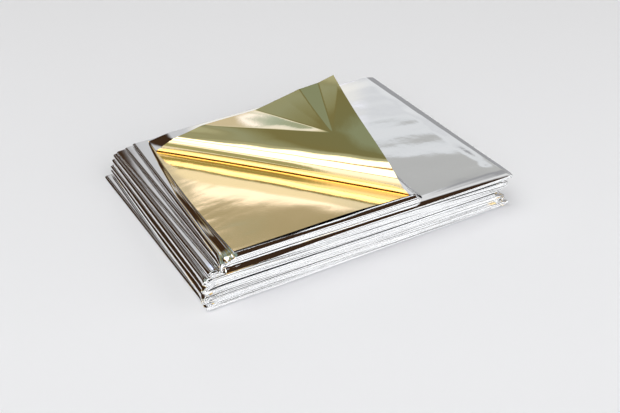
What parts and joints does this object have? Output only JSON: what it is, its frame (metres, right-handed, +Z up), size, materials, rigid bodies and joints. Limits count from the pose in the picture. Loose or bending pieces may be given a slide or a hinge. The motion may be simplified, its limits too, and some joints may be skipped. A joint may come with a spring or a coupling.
{
  "type": "emergency foil blanket",
  "caption": "Emergency foil blanket, silver and gold film folded back and forth into a flat stack, with the top corner peeled up.",
  "frame": {"origin": "under the middle of the folded blanket, on the face that it rests on", "axes": "+X along the pages to their right ends, +Y across the strip from the near long side to the far one, +Z up"},
  "size_m": [0.149, 0.109, 0.0448],
  "materials": {
    "silver_film": "bright metallised film, finely creased",
    "gold_film": "bright gold side of the same film, finely creased"
  },
  "bodies": {
    "root": {"foil_blanket": "silver_film"}
  },
  "joints": []
}
